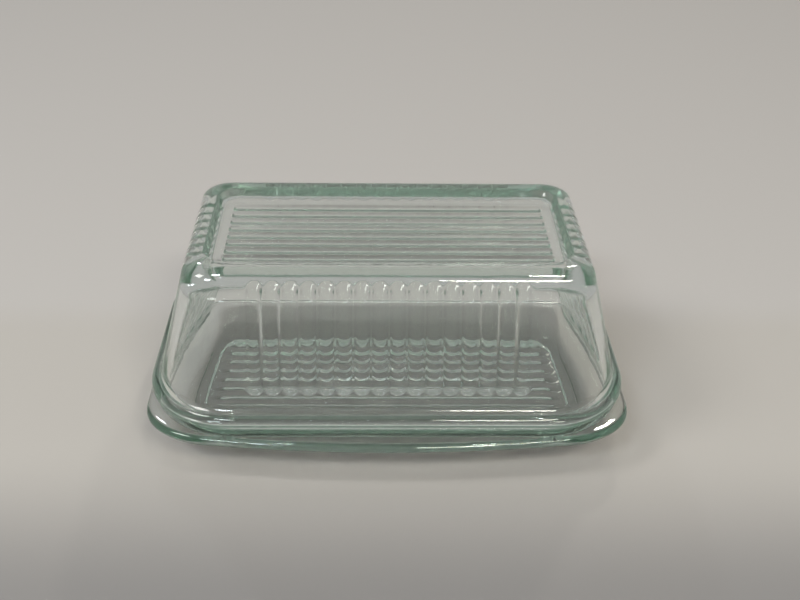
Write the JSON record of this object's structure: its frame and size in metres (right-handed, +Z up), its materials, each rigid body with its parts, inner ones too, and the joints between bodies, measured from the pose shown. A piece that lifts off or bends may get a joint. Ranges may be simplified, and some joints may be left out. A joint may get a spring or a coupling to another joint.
{
  "type": "butter dish",
  "caption": "Pressed-glass butter dish: a shallow tray with a bowed flange and a ribbed box-shaped lid that lifts off.",
  "frame": {"origin": "middle of the underside, on the surface the tray stands on", "axes": "+X along the length, +Y across the depth, +Z up, the way the lid lifts"},
  "size_m": [0.168, 0.1274, 0.0686],
  "materials": {
    "tray_glass": "clear pressed glass with a pale green tint, fire-polished",
    "lid_glass": "clear pressed glass with a pale green tint, fire-polished"
  },
  "bodies": {
    "tray": {"tray": "tray_glass"},
    "lid": {"lid": "lid_glass"}
  },
  "joints": [
    {"name": "lid_lift", "type": "slide", "parent": "tray", "child": "lid", "axis": [0, 0, 1], "range_m": [0, 0.08]}
  ]
}
